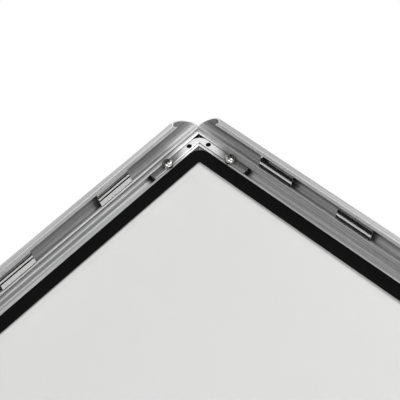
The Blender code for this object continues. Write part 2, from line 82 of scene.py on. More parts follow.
# Small sizes, in millimetres: a rise is a height above the sheets, and a gap is the room between
# two pieces (half of it in a mitre)
DETAILS = dict(
    seat_gap=0.3, mitre_gap=0.15, hinge_gap=0.25,
    # The hinge axis, its bead, half the neck under the bead, and the curl round it
    hinge_inset=3.3, hinge_rise=0.8, bead_radius=0.65, neck_half=0.351, curl_thickness=0.7,
    # The base rail's outer wall, the ledge beside its channel, the lip and the sheets' shelf
    wall_thickness=1.2, ledge_width=1.6, ledge_rise=0.3, lip_width=1.6, shelf_width=11.8,
    # The front rail's straight side wall, its crown's inset and its inner edge
    side_wall=2.8, crown_inset=8.5, tip_rise=4.2,
    # The wall above the foot, how far the foot stands proud of it, the foot's thickness and
    # width, and how much shorter it is at each end
    foot_wall=1.2, foot_nose=0.3, foot_thickness=1.0, foot_reach=4.3, foot_cut_back=2.0,
    # The leaf's hook starts below the hinge; then its flat stretches, the radius of its bends, and
    # the distance between a short side's first two leaves
    leaf_hook_drop=0.55, leaf_runs=np.array((3.8, 1.35, 1.4, 1.2, 2.8)), leaf_bend=0.25,
    leaf_end_gap=1.0, short_side_pitch=70,
    # The bracket's outer corner and inner chamfer, its hole for a wall screw, measured from the
    # frame's corner, and the screw, from the arm's end and from the channel's middle
    bracket_corner=8.5, bracket_chamfer=0.6, wall_hole_along=20.4, wall_hole_radius=1.6,
    screw_setback=15, screw_offset=0.4,
    # The screw's shank, its head with a straight edge and a cross recess with a cone in the
    # middle, and its thread
    shank_radius=1.5, head_height=3.4, head_edge=0.6, recess_length=4.6, recess_width=1.0,
    recess_depth=1.7, cone_radius=0.9, cone_depth=0.6, thread_pitch=0.5, thread_depth=0.2,
    # How much smaller the poster is on each side, and the corners of the border's window
    poster_inset=0.5, window_corner=1.5,
    # Radii on the edges of the rails, the brackets, the panel, the cover, and poster and border
    edge_round=0.25, plate_round=0.35, panel_edge=0.3, cover_edge=0.2, film_edge=0.05,
)

# Slants of the leaf's flat stretches, leaves on a long side, and the part of the curl in its web
LEAF_SLANTS = np.radians((23.8, 16, 19.8, 15.5, 6))
LONG_SIDE_LEAVES = 6
WEB_ANGLE = math.radians(15)

# Pulls of a front rail's two curves, as shares of the rise, the run and the drop that they cover
SIDE_PULLS = (0.59, 0.55)
FACE_PULLS = (0.36, 0.26, 0.47)

# The screw's head: power of its dome, turn and wall slope of its recess, slope of the cone in it
HEAD_POWER, RECESS_TURN, RECESS_SLOPE, CONE_SLOPE = 1 / 0.6, math.radians(-20), 5, 1.5

# How finely the round forms are drawn
HOLE_STEPS, FLOOR_STEPS = 32, 64
HINGE_STEPS, SIDE_STEPS, FACE_STEPS = 28, 24, 32
LEAF_BEND_STEPS, BRACKET_CORNER_STEPS, SHEET_CORNER_STEPS = 4, 8, 10
SCREW_SPOKES, HEAD_RINGS, RINGS_PER_PITCH = 96, 44, 6

# Finish numbers: a surface's sides have 0 and its ends 1 unless it says otherwise
# The base rails' first finish paints light near the frame's corners
BASE_RAIL_FINISHES = ("buffed_aluminium", "sawn_aluminium", "channel_aluminium",
                      "anodised_aluminium")
CORNER_LIT, SAWN, CHANNEL, PLAIN = range(4)
# The front rails' third finish paints light on the foot's underside, and the fourth paints part of
# the shade on the hollow side
FRONT_RAIL_FINISHES = ("anodised_aluminium", "sawn_aluminium", "rubbed_aluminium",
                       "hollow_aluminium")
FOOT_SHEEN, HOLLOW = 2, 3

# Where each lamp stands, seen from the frame's middle, and the shares of the floor's radius
# between which the floor fades away
LAMP_DIRECTIONS = dict(high_lamp=(0, -0.8, 0.6), low_lamp=(0, -0.91, -0.41),
                       side_lamp=(0.87, -0.39, -0.29), back_lamp=(-0.4, 0.8, 0.45))
FADE_START, FADE_END = 0.25, 0.95

# Each side: its own axes in the world, along, outwards and forwards
SIDE_AXES = dict(
    top=((1, 0, 0), (0, 0, 1), (0, -1, 0)), left=((0, 0, 1), (-1, 0, 0), (0, -1, 0)),
    bottom=((-1, 0, 0), (0, 0, -1), (0, -1, 0)), right=((0, 0, -1), (1, 0, 0), (0, -1, 0)))

# Each corner: which way it lies from the frame's middle, along X and along Z
CORNERS = dict(top_left=(-1, 1), top_right=(1, 1), bottom_right=(1, -1), bottom_left=(-1, -1))


def properties(kind, rows, **settings):
    """Return a property for each row of default and description; lengths are in millimetres."""
    scale = 1000 if settings.get("unit") == "LENGTH" else 1
    return {key: kind(name=key.replace("_", " ").capitalize(), description=text,
                      default=value / scale if scale > 1 else value, **settings)
            for key, (value, text) in rows.items()}


class PosterFrameSizes(bpy.types.PropertyGroup):
    """Sizes of the frame's pieces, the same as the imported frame's."""

    __annotations__ = properties(FloatProperty, dict(
        frame_width=(452, "Outside width with the rails shut"),
        frame_height=(626, "Outside height with the rails shut"),
        panel_thickness=(1.5, "Thickness of the back panel"),
        poster_thickness=(0.2, "Thickness of the poster"),
        cover_thickness=(1.0, "Thickness of the clear cover"),
        border_thickness=(0.2, "Thickness of the black border"),
        border_width=(10.4, "Width of the black border"),
        sheet_corner=(10, "Corner radius of the sheets"),
        floor_thickness=(1.5, "Thickness of a base rail's floor"),
        channel_width=(6.2, "Width of the channel that takes the brackets"),
        rail_width=(25, "Width of a shut front rail"),
        rail_thickness=(1.3, "Wall of a front rail"),
        crown_rise=(10.2, "Height of the crown above the sheets"),
        leaf_length=(29.5, "Length of a leaf spring along the rail"),
        leaf_thickness=(0.4, "Thickness of a leaf spring"),
        long_side_first_leaf=(85.6, "From a long side's end to its first leaf's middle"),
        short_side_first_leaf=(78.5, "From a short side's end to its first leaf's middle"),
        bracket_arm=(57.5, "From the frame's corner to the arm's end"),
        head_radius=(4.2, "Radius of the screw's head"),
    ), min=0, precision=5, unit="LENGTH")


class PosterFrameColours(bpy.types.PropertyGroup):
    """Colours of the frame's finishes, as hexadecimal sRGB values."""

    __annotations__ = properties(StringProperty, dict(
        anodised=("D4D4D4", "Satin silver anodised face"),
        # The hollow colour is partly painted shade: darker than the face, standing for the shade
        # in the recessed hollow side
        hollow=("BABABA", "Bare metal on the hollow side of a front rail"),
        # Painted light: this bright colour stands for the light on the front rails' foot
        # undersides and near the base rails' corners
        rubbed=("F0F0F0", "Bright metal where pieces rub or were buffed"),
        # Painted shadow: the black that the channel's floor takes under and just beyond the
        # brackets
        bracket_shadow=("161616", "Dark residue left round the brackets"),
        sawn=("D6D6D4", "Bare aluminium of the sawn ends"),
        spring=("E4E4E4", "Bright rolled spring strip"),
        # The plate colour is painted darker on the bracket arms and brighter at their corner, a
        # painted reflection
        plated=("B6B6B5", "Bright zinc plate on the brackets"),
        # Painted shade: near black for the walls of the drilled holes
        bore=("1C1C1D", "Dark unplated wall of a drilled hole"),
        nickel=("A2A2A1", "Polished nickel plate on the screws"),
        panel=("BDBEBE", "Grey moulded sheet"),
        paper=("E8E8E7", "Blank poster paper"),
        cover=("F4F6F6", "Tint of the clear cover"),
        ink=("050505", "Black printed border"),
        studio_floor=("E6E6E6", "Pale floor"),
    ))


class PosterFrameStage(bpy.types.PropertyGroup):
    """Camera, lamps and floor."""

    __annotations__ = {
        "camera_place": FloatVectorProperty(
            name="Camera place", description="Where the camera stands", size=3, unit="LENGTH",
            default=(0.18547, -0.60842, -0.32402)),
        "camera_turn": FloatVectorProperty(
            name="Camera turn", description="How the camera is turned", size=3, subtype="EULER",
            default=np.radians((121.7909, -43.8742, 7.6571))),
        **properties(FloatProperty, dict(
            camera_lens=(97.65, "Focal length in millimetres"),
            ambient=(0.08, "Strength of the even light all round"),
        ), min=0),
        **properties(FloatProperty, dict(
            high_lamp=(15.0, "Power of the lamp above, in front"),
            low_lamp=(11.5, "Power of the lamp below, in front"),
            side_lamp=(9.5, "Power of the lamp low on the right"),
            back_lamp=(6.0, "Power of the lamp behind"),
        ), min=0, unit="POWER"),
        **properties(FloatProperty, dict(
            lamp_size=(1000, "Width of each square lamp"),
            lamp_distance=(1700, "From the frame to each lamp"),
            floor_radius=(3000, "How far the floor reaches"),
            floor_drop=(1200, "How high the frame hangs above the floor"),
        ), min=0, unit="LENGTH"),
    }


def places(scene):
    """Return the sizes and details, and the places that follow from them, in metres."""
    sizes = scene.poster_frame_sizes
    p = SimpleNamespace(**{key: getattr(sizes, key) for key in PosterFrameSizes.__annotations__})
    for key, size in DETAILS.items():
        setattr(p, key, size / 1000)
    layers = (p.floor_thickness, p.panel_thickness, p.poster_thickness, p.cover_thickness)
    p.panel_back, p.poster_back, p.cover_back, p.border_back = np.cumsum(
        np.add(layers, p.seat_gap))
    p.sheet_top = p.border_back + p.border_thickness
    p.hinge = (p.hinge_inset, p.sheet_top + p.hinge_rise)
    p.curl_inner = p.bead_radius + p.hinge_gap
    p.curl_outer = p.curl_inner + p.curl_thickness
    p.foot_back = p.sheet_top + p.seat_gap
    p.foot_front = p.foot_back + p.foot_thickness
    p.tip_outer = p.rail_width - p.foot_nose
    p.tip_inner = p.tip_outer - p.foot_wall
    p.leaf_radius = p.curl_outer + p.hinge_gap + p.leaf_thickness / 2
    p.leaf_end = p.tip_inner - p.leaf_end_gap
    p.ledge_top = p.sheet_top + p.ledge_rise
    p.ledge_outer = p.hinge_inset + p.leaf_radius + p.leaf_thickness / 2 + p.hinge_gap
    p.ledge_inner = p.ledge_outer + p.ledge_width
    p.lip_outer = p.ledge_inner + p.channel_width
    p.lip_inner = p.lip_outer + p.lip_width
    p.shelf_end = p.lip_inner + p.shelf_width
    p.sheet_inset = p.lip_inner + p.seat_gap
    p.wall_outer = p.hinge_inset - p.wall_thickness / 2
    p.wall_inner = p.hinge_inset + p.wall_thickness / 2
    p.wall_top = p.hinge[1] - p.curl_outer - p.seat_gap
    p.relief_top = p.wall_top - p.floor_thickness
    p.stop_rise = p.wall_thickness / 2 + p.seat_gap
    p.bracket_outer = p.ledge_inner + p.seat_gap
    p.bracket_inner = p.lip_outer - p.seat_gap
    p.bracket_middle = (p.bracket_outer + p.bracket_inner) / 2
    p.screw_hole = p.shank_radius + p.seat_gap
    p.screw_along = p.bracket_arm - p.screw_setback
    p.screw_inset = p.bracket_middle + p.screw_offset
    p.centre = (0, 0, (p.wall_outer + p.shelf_end) / 2 - p.frame_height / 2)
    p.holes = ((p.wall_hole_along, p.bracket_middle, p.wall_hole_radius),
               (p.screw_along, p.screw_inset, p.screw_hole))
    level, upright = (p.frame_width, p.frame_height / 2), (p.frame_height, p.frame_width / 2)
    p.sides = {"top": level, "bottom": level, "left": upright, "right": upright}
    return p


# Lines and sections


def arc(centre, radius, start, end, steps):
    """Return points on an arc: the centre plus the radius times cosine and sine of each angle."""
    angles = np.linspace(start, end, steps + 1)
    return np.column_stack((centre[0] + radius * np.cos(angles),
                            centre[1] + radius * np.sin(angles)))


def bezier(controls, steps):
    """Return points on a cubic curve: the controls weighted by the four cubic shares of t."""
    t = np.linspace(0, 1, steps + 1)[:, None]
    weights = np.hstack(((1 - t) ** 3, 3 * t * (1 - t) ** 2, 3 * t ** 2 * (1 - t), t ** 3))
    return weights @ np.array(controls)


def unit(vectors):
    """Return vectors scaled to a length of one."""
    return vectors / np.maximum(np.linalg.norm(vectors, axis=1), MERGE_DISTANCE)[:, None]


def sideways(line, distance, closed=False):
    """Move a line to the left of its course: each point goes along the mean of its two normals.

    The move is the distance over the cosine of half the bend, so that straight stretches keep
    their distance.
    """
    line = np.asarray(line, float)
    step = np.roll(line, -1, axis=0) - line
    if not closed:
        step[-1] = step[-2]
    step = unit(step)
    normal = np.column_stack((-step[:, 1], step[:, 0]))
    before = np.roll(normal, 1, axis=0)
    if not closed:
        before[0] = normal[0]
    bend = 1 + (normal * before).sum(axis=1)
    return line + distance * (normal + before) / bend[:, None]


def rounded(*stretches, steps=3):
    """Join stretches of corners, each (points, radius), into a closed line with round corners.

    An arc touches both sides of its corner. Its centre lies on the line that halves the corner,
    the radius over the sine of half the corner away, and its points turn evenly from one side's
    normal to the other's. A corner with no radius stays as it is.
    """
    stretches = [(np.atleast_2d(points), radius) for points, radius in stretches]
    corners = np.vstack([points for points, _radius in stretches]).astype(float)
    radii = np.concatenate([np.full(len(points), float(radius)) for points, radius in stretches])
    before, after = (unit(np.roll(corners, shift, axis=0) - corners) for shift in (1, -1))
    half = np.arccos(np.clip((before * after).sum(axis=1), -1, 1)) / 2
    centre = corners + unit(before + after) * (radii / np.sin(half))[:, None]
    reach = radii / np.tan(half)
    first = corners + before * reach[:, None] - centre
    last = corners + after * reach[:, None] - centre
    swing = np.maximum(math.pi - 2 * half, MERGE_DISTANCE)[:, None, None]
    share = np.linspace(0, 1, steps + 1)[None, :, None]
    turned = np.sin((1 - share) * swing) * first[:, None] + np.sin(share * swing) * last[:, None]
    points = centre[:, None] + turned / np.sin(swing)
    points[radii == 0] = corners[radii == 0][:, None]
    kept = (radii[:, None] > 0) | (np.arange(steps + 1)[None] == 0)
    return points[kept]


def anticlockwise(loop):
    """Return a closed line in anticlockwise order."""
    x, y = loop[:, 0], loop[:, 1]
    area = (x * np.roll(y, -1) - np.roll(x, -1) * y).sum()
    return loop if area > 0 else loop[::-1]


def raised(points, height):
    """Return flat points with one height added to each."""
    return np.column_stack((points, np.full(len(points), height)))


def filled(loops):
    """Return anticlockwise triangles that fill the first loop and leave the others open."""
    triangles = np.array(tessellate_polygon([raised(loop, 0).tolist() for loop in loops]))
    points = np.vstack(loops)[triangles]
    first, second = points[:, 1] - points[:, 0], points[:, 2] - points[:, 0]
    turned = first[:, 0] * second[:, 1] - first[:, 1] * second[:, 0] < 0
    triangles[turned] = triangles[turned][:, ::-1]
    return triangles


def circle(centre, radius, steps=HOLE_STEPS):
    """Return a closed round line, anticlockwise."""
    return arc(centre, radius, 0, 4 * QUARTER, steps)[:-1]


def sheet_outline(p, inset, radius):
    """Return a rectangle at one inset from the frame's outer edge, with round corners."""
    half = (p.frame_width / 2 - inset, p.frame_height / 2 - inset)
    corners = np.array([(1, 1), (-1, 1), (-1, -1), (1, -1)]) * half
    return rounded((corners, radius), steps=SHEET_CORNER_STEPS)


# Surfaces: each holds corners, faces, pattern places and a finish number


def surface(corners, faces, pattern, finish=0):
    """Return one surface; the pattern holds a place for each corner of each face."""
    return SimpleNamespace(corners=corners, faces=faces, pattern=pattern, finish=finish)


def ringed(rings, line):
    """Join rings of corners by quads, and return both with how far round the line each quad is.

    Each ring has a corner for each point of the closed line.
    """
    count = len(line)
    ring, here = np.indices((len(rings) - 1, count)).reshape(2, -1)
    after = (here + 1) % count
    first = ring * count
    quads = np.column_stack((first + here, first + after, first + count + after,
                             first + count + here))
    gaps = np.linalg.norm(np.roll(line, -1, axis=0) - line, axis=1)
    way = np.concatenate(((0,), np.cumsum(gaps)))
    return np.vstack(rings), quads, way[np.column_stack((here, here + 1, here + 1, here))]


def carried(section, half_lengths, skipped=()):
    """Carry a closed section along X, between the half lengths of its points, and close its ends.

    The section is anticlockwise in the (outwards, forwards) plane. A pattern place is the place
    along the piece and the way round the section. Skipped edges are left open.
    """
    ends = [np.column_stack((sign * half_lengths, section)) for sign in (-1, 1)]
    corners, quads, across = ringed(ends, section)
    quads, across = (np.delete(rows, skipped, axis=0) for rows in (quads, across))
    sides = surface(corners, quads, np.stack((corners[quads][:, :, 0], across), axis=2))
    triangles = filled([section])
    faces = np.vstack((triangles[:, ::-1], triangles + len(section)))
    return [sides, surface(corners, faces, corners[faces][:, :, 1:], finish=1)]


def holed_strip(section, edge, half_lengths, holes, finish=0):
    """Fill one straight edge of a carried section with a flat strip that has round holes in it.

    The strip is flat in the plane of its edge, and faces the same way as the section's side.
    """
    ends = np.array((edge, (edge + 1) % len(section)))
    place, half = section[ends, 0], half_lengths[ends]
    outer = np.column_stack((np.append(-half, half[::-1]), np.append(place, place[::-1])))
    loops = [anticlockwise(outer)] + [circle(*hole) for hole in holes]
    triangles = filled(loops)
    if place[1] > place[0]:
        triangles = triangles[:, ::-1]
    flat = np.vstack(loops)
    return surface(raised(flat, section[edge, 1]), triangles, flat[triangles], finish)


def walled(loops, profile, finish=0):
    """Carry a wall round each closed loop: one ring for each (inward move, height) of a profile.

    Outer loops run anticlockwise and holes clockwise, so that inward is always to the left.
    """
    found = []
    for loop in loops:
        rings = [raised(sideways(loop, inward, closed=True) if inward else loop, height)
                 for inward, height in profile]
        corners, quads, along = ringed(rings, loop)
        pattern = np.stack((along, corners[quads][:, :, 2]), axis=2)
        found.append(surface(corners, quads, pattern, finish))
    return found


def plate(outer, holes, back, front, edge, steps=3, hole_finish=0):
    """Return a flat plate with round edges: walls round each loop, and a filled back and front."""
    turn = np.linspace(0, QUARTER, steps + 1)
    rise, run = edge * (1 - np.cos(turn)), edge * (1 - np.sin(turn))
    profile = [(inward, back + height) for inward, height in zip(run, rise)]
    profile += [(inward, front - height) for inward, height in zip(run[::-1], rise[::-1])]
    outer = anticlockwise(outer)
    holes = [anticlockwise(hole)[::-1] for hole in holes]
    found = walled([outer], profile) + walled(holes, profile, hole_finish)
    loops = [sideways(loop, edge, closed=True) for loop in (outer, *holes)]
    flat = np.vstack(loops)
    triangles = filled(loops)
    return found + [surface(raised(flat, height), faces, flat[faces])
                    for height, faces in ((back, triangles[:, ::-1]), (front, triangles))]


def turned_grid(radius, height, middle):
    """Return a round surface: rings of (radius, height) grids at evenly spaced angles.

    The radius and height hold one value for each ring and spoke, from the shank's end up.
    """
    spokes = radius.shape[1]
    angles = 2 * math.pi * np.arange(spokes) / spokes
    grid = np.stack((middle[0] + radius * np.cos(angles), middle[1] + radius * np.sin(angles),
                     height), axis=2)
    corners, quads, _way = ringed(grid, grid[0])
    return surface(corners, quads, corners[quads][:, :, :2])


def linked(name, data):
    """Return a new object of the scene that shows some data."""
    thing = bpy.data.objects.new(name, data)
    bpy.context.scene.collection.objects.link(thing)
    return thing


def add_piece(p, node, surfaces, side, finishes, body):
    """Make one closed piece of its surfaces over its node, smooth with its sharp edges kept.

    The corners are turned from the side's own axes into the world's.
    """
    starts = np.cumsum([0] + [len(part.corners) for part in surfaces])
    corners = np.vstack([part.corners for part in surfaces])
    faces = []
    for start, part in zip(starts, surfaces):
        faces += (part.faces + start).tolist()
    mesh = bpy.data.meshes.new("dressed_" + node)
    mesh.from_pydata(corners @ np.array(SIDE_AXES[side], float) + p.centre, [], faces)
    pattern = np.concatenate([part.pattern.reshape(-1) for part in surfaces])
    mesh.uv_layers.new(name="section").data.foreach_set("uv", pattern.astype(np.float32))
    numbers = np.concatenate([np.full(len(part.faces), part.finish) for part in surfaces])
    mesh.polygons.foreach_set("material_index", np.minimum(numbers, len(finishes) - 1))
    for name in finishes:
        mesh.materials.append(finish(name))
    working = bmesh.new()
    working.from_mesh(mesh)
    bmesh.ops.remove_doubles(working, verts=working.verts, dist=MERGE_DISTANCE)
    working.to_mesh(mesh)
    working.free()
    mesh.shade_smooth()
    mesh.set_sharp_from_angle(angle=SHARP_ANGLE)
    piece = linked(mesh.name, mesh)
    weighted = piece.modifiers.new("flat_faces_lead", "WEIGHTED_NORMAL")
    weighted.keep_sharp = True
    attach(piece, body)
    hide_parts(node)


# Finishes


def linear(hexadecimal):
    """Return a hexadecimal sRGB colour as linear red, green, blue and an alpha of 1."""
    values = np.array([int(hexadecimal[start:start + 2], 16) / 255 for start in (0, 2, 4)])
    values = np.where(values <= 0.04045, values / 12.92, ((values + 0.055) / 1.055) ** 2.4)
    return (*values.tolist(), 1)


def add_node(tree, kind, links=None, values=None, **settings):
    """Add a node with settings, values and links for its sockets, and return its outputs."""
    node = tree.nodes.new("ShaderNode" + kind)
    for name, value in settings.items():
        setattr(node, name, value)
    for socket, value in (values or {}).items():
        node.inputs[socket].default_value = value
    for socket, source in (links or {}).items():
        tree.links.new(source, node.inputs[socket])
    return node.outputs


# A pattern returns three factors, for the colour, the roughness and the height of the bump


def grain(tree, size, detail=2.0):
    """Return even noise with grains of one size, in metres, fixed to the object."""
    source = add_node(tree, "TexCoord")["Object"]
    noise = add_node(tree, "TexNoise", {"Vector": source}, {"Scale": 1 / size, "Detail": detail})
    return 3 * (noise[0],)


def spangle(tree, size, fine):
    """Return crystals of one size, and a finer grain for the bump, both in metres."""
    crystals, rough, _height = grain(tree, size, 3.0)
    return crystals, rough, grain(tree, fine)[2]


def drawn_lines(tree, pitch, run):
    """Return noise drawn out into lines along a piece: one pitch across, one run along, metres."""
    source = add_node(tree, "UVMap", uv_map="section")[0]
    lined = add_node(tree, "Mapping", {"Vector": source}, {"Scale": (1 / run, 1 / pitch, 1)})[0]
    noise = add_node(tree, "TexNoise", {"Vector": lined}, {"Scale": 1.0, "Detail": 2.0},
                     noise_dimensions="2D")
    return 3 * (noise[0],)


def satin_lines(tree, fine, coarse, low, high):
    """Return the product of fine and coarse lines, spread from low to high, and the two alone."""
    fine, coarse = drawn_lines(tree, *fine)[0], drawn_lines(tree, *coarse)[0]
    both = add_node(tree, "Math", {0: fine, 1: coarse}, operation="MULTIPLY")[0]
    spread = add_node(tree, "MapRange", {"Value": both}, {"To Min": low, "To Max": high})
    return spread[0], coarse, fine


def near_corner(tree, colour, other, full, none):
    """Blend a colour into another near the corners: wholly up to one distance, gone by the next.

    The distance from the nearest corner is the larger of two lengths: half the width less the
    size of x, and half the height less the size of z, both from the frame's middle.
    """
    p = places(bpy.context.scene)
    place = add_node(tree, "TexCoord")["Object"]
    moved = add_node(tree, "VectorMath", {0: place}, {1: p.centre}, operation="SUBTRACT")[0]
    size = add_node(tree, "VectorMath", {0: moved}, operation="ABSOLUTE")[0]
    rest = add_node(tree, "VectorMath", {1: size},
                    {0: (p.frame_width / 2, 0, p.frame_height / 2)}, operation="SUBTRACT")
    parts = add_node(tree, "SeparateXYZ", {0: rest[0]})
    distance = add_node(tree, "Math", {0: parts[0], 1: parts[2]}, operation="MAXIMUM")
    share = add_node(tree, "MapRange", {"Value": distance[0]},
                     {"From Min": full, "From Max": none, "To Min": 1.0, "To Max": 0.0},
                     interpolation_type="SMOOTHSTEP")[0]
    return add_node(tree, "Mix", {0: share, 6: colour}, {7: linear(other)}, data_type="RGBA")[2]


SATIN = dict(
    values={"Metallic": 0.4, "Anisotropic": 0.8, "Anisotropic Rotation": 0.25},
    pattern=(satin_lines, (0.0003, 0.09), (0.0016, 0.4), -0.3, 2.6),
    tones=("8E8E8F", "anodised"), roughness=(0.42, 0.52), bump=(0.00002, 0.35))

# Each finish: the shader's constant values, a pattern with its sizes in metres, the two colours
# and the lowest and highest roughness that it runs between, and the bump's distance and strength.
# A corner holds another colour, how far from the frame's corners it is whole and where it ends.
# A colour is a named one or a hexadecimal sRGB value.
FINISHES = {
    # Silver anodised 6063 extrusion: satin, with fine die lines that run along the rail. They are
    # about 0.3 mm apart, and a coarser set, 1.6 mm apart, is what shows from a step away.
    "anodised_aluminium": SATIN,

    # The same extrusion on the base rails, with painted light: brighter near the frame's corners,
    # standing for light mirrored between the rails there
    "buffed_aluminium": dict(SATIN, corner=("rubbed", 0.024, 0.036)),

    # The channel's floor, with painted shadow: black under and just beyond the brackets
    "channel_aluminium": dict(SATIN, corner=("bracket_shadow", 0.0585, 0.0635)),

    # The hollow side of a front rail, as it left the press: a grey metal that mirrors dimly. Its
    # darker tone is partly that bare metal and partly painted shade of the recess
    "hollow_aluminium": dict(
        SATIN, values=dict(SATIN["values"], Metallic=0.95), tones=("828282", "hollow")),

    # Bare aluminium left by the mitre saw: brighter than the face, with fine saw marks
    "sawn_aluminium": dict(
        values={"Metallic": 1.0}, pattern=(grain, 0.0004), tones=("C0C0C0", "sawn"),
        roughness=(0.38, 0.55), bump=(0.00004, 0.4)),

    # Anodised aluminium on the foot's underside, where it slides on the cover: painted light, a
    # brighter colour that stands for the light it catches, in fine streaks
    "rubbed_aluminium": dict(
        values={"Metallic": 0.5}, pattern=(drawn_lines, 0.0004, 0.02),
        tones=("DCDCDC", "rubbed"), roughness=(0.35, 0.5)),

    # Bright rolled stainless spring strip: a mirror, with faint rolling lines
    "rolled_spring_steel": dict(
        values={"Metallic": 1.0}, pattern=(drawn_lines, 0.0005, 0.03),
        tones=("D6D6D6", "spring"), roughness=(0.01, 0.02)),

    # Bright zinc plate on pressed steel: soft gloss with a faint spangle, 1.2 mm across. The arms
    # are painted darker and the corner between them brighter: a painted reflection.
    "zinc_plate": dict(
        values={"Metallic": 1.0}, pattern=(spangle, 0.0012, 0.0004),
        tones=("9E9E9D", "plated"), roughness=(0.22, 0.36), bump=(0.00002, 0.3),
        corner=("DCDCDC", 0.026, 0.041)),

    # Unplated steel in a drilled hole, painted near black as the hole's shade, and dull
    "drilled_bore": dict(
        values={"Metallic": 0.0, "Specular IOR Level": 0.1}, pattern=(grain, 0.0006),
        tones=("080808", "bore"), roughness=(0.6, 0.8)),

    # Polished nickel plate on the screws: a clear shine, with faint smears from the driver
    "nickel_plate": dict(
        values={"Metallic": 1.0}, pattern=(grain, 0.0009), tones=("9E9E9D", "nickel"),
        roughness=(0.08, 0.2)),

    # Grey extruded polystyrene sheet: matt, with a fine grain, 0.8 mm, drawn a little coarse
    "extruded_polystyrene": dict(
        values={"IOR": 1.59}, pattern=(grain, 0.0008, 4.0), tones=("B2B3B3", "panel"),
        roughness=(0.5, 0.66), bump=(0.00005, 0.4)),

    # Blank coated poster paper: even and matt, with faint fibres, 1.5 mm long
    "coated_paper": dict(
        values={"IOR": 1.5, "Specular IOR Level": 0.15}, pattern=(grain, 0.0015, 4.0),
        tones=("E3E3E2", "paper"), roughness=(0.8, 0.9), bump=(0.00001, 0.2)),

    # Clear anti-glare plastic: nearly all of it lets the poster through, with a faint haze
    "clear_cover": dict(
        values={"IOR": 1.5, "Specular IOR Level": 0.3}, pattern=(grain, 0.0007),
        tones=("cover", "FFFFFF"), roughness=(0.3, 0.4), alpha=(0.08, 0.12)),

    # Black screen print on clear film: dense and matt, with a very fine grain
    "printed_black": dict(
        values={"IOR": 1.5, "Specular IOR Level": 0.05}, pattern=(grain, 0.0006),
        tones=("ink", "0A0A0A"), roughness=(0.6, 0.75)),

    # Matt studio paper on the floor, with faint specks
    "studio_paper": dict(
        values={"Specular IOR Level": 0.1, "Roughness": 0.9}, pattern=(grain, 0.004),
        tones=("studio_floor", "E9E9E9")),
}


def finish(name):
    """Return one finish, made the first time that a piece asks for it.

    The factors of its pattern run the colour, the roughness and alpha, and the bump.
    """
    material = bpy.data.materials.get(name)
    if material:
        return material
    recipe = FINISHES[name]
    colours = bpy.context.scene.poster_frame_colours
    material = bpy.data.materials.new(name)
    material.use_nodes = True
    tree = material.node_tree
    shader = tree.nodes["Principled BSDF"]
    for socket, value in recipe["values"].items():
        shader.inputs[socket].default_value = value
    make_pattern, *scale = recipe["pattern"]
    blend, rough, height = make_pattern(tree, *scale)
    first, second = (linear(getattr(colours, tone, tone)) for tone in recipe["tones"])
    colour = add_node(tree, "Mix", {0: blend}, {6: first, 7: second}, data_type="RGBA")[2]
    if "corner" in recipe:
        other, full, none = recipe["corner"]
        colour = near_corner(tree, colour, getattr(colours, other, other), full, none)
    wires = {"Base Color": colour}
    for socket in ("Roughness", "Alpha"):
        if socket.lower() in recipe:
            low, high = recipe[socket.lower()]
            wires[socket] = add_node(tree, "MapRange", {"Value": rough},
                                     {"To Min": low, "To Max": high})[0]
    if "bump" in recipe:
        distance, strength = recipe["bump"]
        wires["Normal"] = add_node(tree, "Bump", {"Height": height},
                                   {"Distance": distance, "Strength": strength})[0]
    if "Anisotropic" in recipe["values"]:
        wires["Tangent"] = add_node(tree, "Tangent", direction_type="UV_MAP", uv_map="section")[0]
    for socket, source in wires.items():
        tree.links.new(source, shader.inputs[socket])
    return material


# Pieces


def base_section(p):
    """Return the base rail's section: floor, lip, channel, ledge, wall and round hinge bead."""
    neck_angle = math.asin(p.neck_half / p.bead_radius)
    bead = arc(p.hinge, p.bead_radius, neck_angle - QUARTER, 3 * QUARTER - neck_angle, HINGE_STEPS)
    edge = p.edge_round
    return rounded(
        ([(p.wall_outer, 0), (p.wall_inner, 0), (p.wall_inner, p.relief_top),
          (p.ledge_outer, p.relief_top), (p.ledge_outer, 0),
          (p.shelf_end, 0), (p.shelf_end, p.floor_thickness),
          (p.lip_inner, p.floor_thickness), (p.lip_inner, p.sheet_top),
          (p.lip_outer, p.sheet_top), (p.lip_outer, p.floor_thickness),
          (p.ledge_inner, p.floor_thickness), (p.ledge_inner, p.ledge_top),
          (p.ledge_outer, p.ledge_top), (p.ledge_outer, p.wall_top)], edge),
        ([(p.hinge_inset + p.neck_half, p.wall_top)], 0),
        (bead, 0),
        ([(p.hinge_inset - p.neck_half, p.wall_top)], 0),
        ([(p.wall_outer, p.wall_top)], edge),
    )


def face_lines(p):
    """Return the front rail's outer line and its inner line, from the side wall to the tip.

    The outer line is two cubic curves that meet level at the crown, and the inner line lies one
    wall below it.
    """
    side_top = np.array((0, p.hinge[1] + p.stop_rise + p.side_wall))
    crown = np.array((p.crown_inset, p.sheet_top + p.crown_rise))
    tip = np.array((p.tip_outer, p.sheet_top + p.tip_rise))
    rise, run = crown[1] - side_top[1], tip[0] - crown[0]
    drop = crown[1] - tip[1]
    up, back = SIDE_PULLS
    on, away, down = FACE_PULLS
    outer = np.vstack((
        bezier((side_top, side_top + (0, up * rise), crown - (back * p.crown_inset, 0), crown),
               SIDE_STEPS),
        bezier((crown, crown + (on * run, 0), tip + (-away * run, down * drop), tip),
               FACE_STEPS)[1:],
    ))
    return outer, sideways(outer, -p.rail_thickness)


